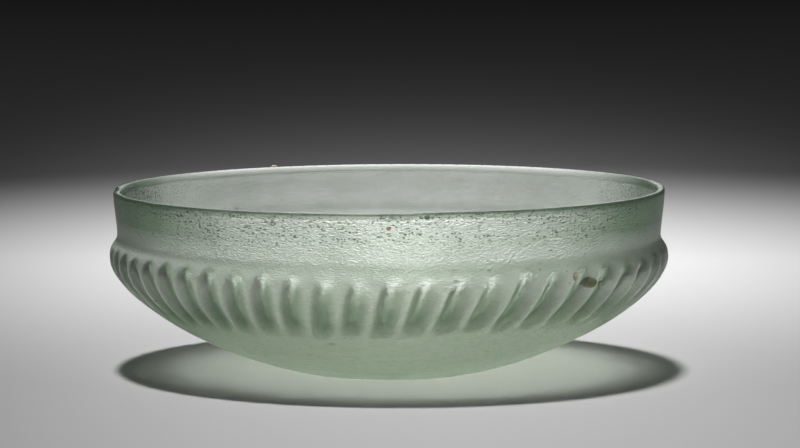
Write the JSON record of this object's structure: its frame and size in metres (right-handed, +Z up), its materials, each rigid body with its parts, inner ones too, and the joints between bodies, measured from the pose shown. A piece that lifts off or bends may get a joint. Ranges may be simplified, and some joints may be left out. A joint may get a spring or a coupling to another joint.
{
  "type": "fluted glass patera",
  "caption": "Shallow round bowl of translucent pale green cast glass, with a plain collar over a band of slanted flutes and a small flat base.",
  "frame": {"origin": "centre of the flat base, on the surface that the bowl stands on", "axes": "+Z up along the bowl's axis, -Y towards the viewer of the picture, +X to that viewer's right"},
  "size_m": [0.1522, 0.1522, 0.0502],
  "materials": {
    "sea_glass": "translucent pale sea-green cast glass, weathered satin with fine pits",
    "burial_soil": "matt olive-brown hardened soil",
    "lime_crust": "matt cream lime crust",
    "rust_stain": "matt ochre iron-stained crust"
  },
  "bodies": {
    "root": {"glass_bowl": "sea_glass", "soil_lump_groove": "burial_soil", "lime_fleck_groove_left": "lime_crust", "lime_fleck_groove_right": "lime_crust", "rust_fleck_collar": "rust_stain", "soil_fleck_front_lip": "burial_soil", "soil_fleck_back_lip": "rust_stain"}
  },
  "joints": []
}
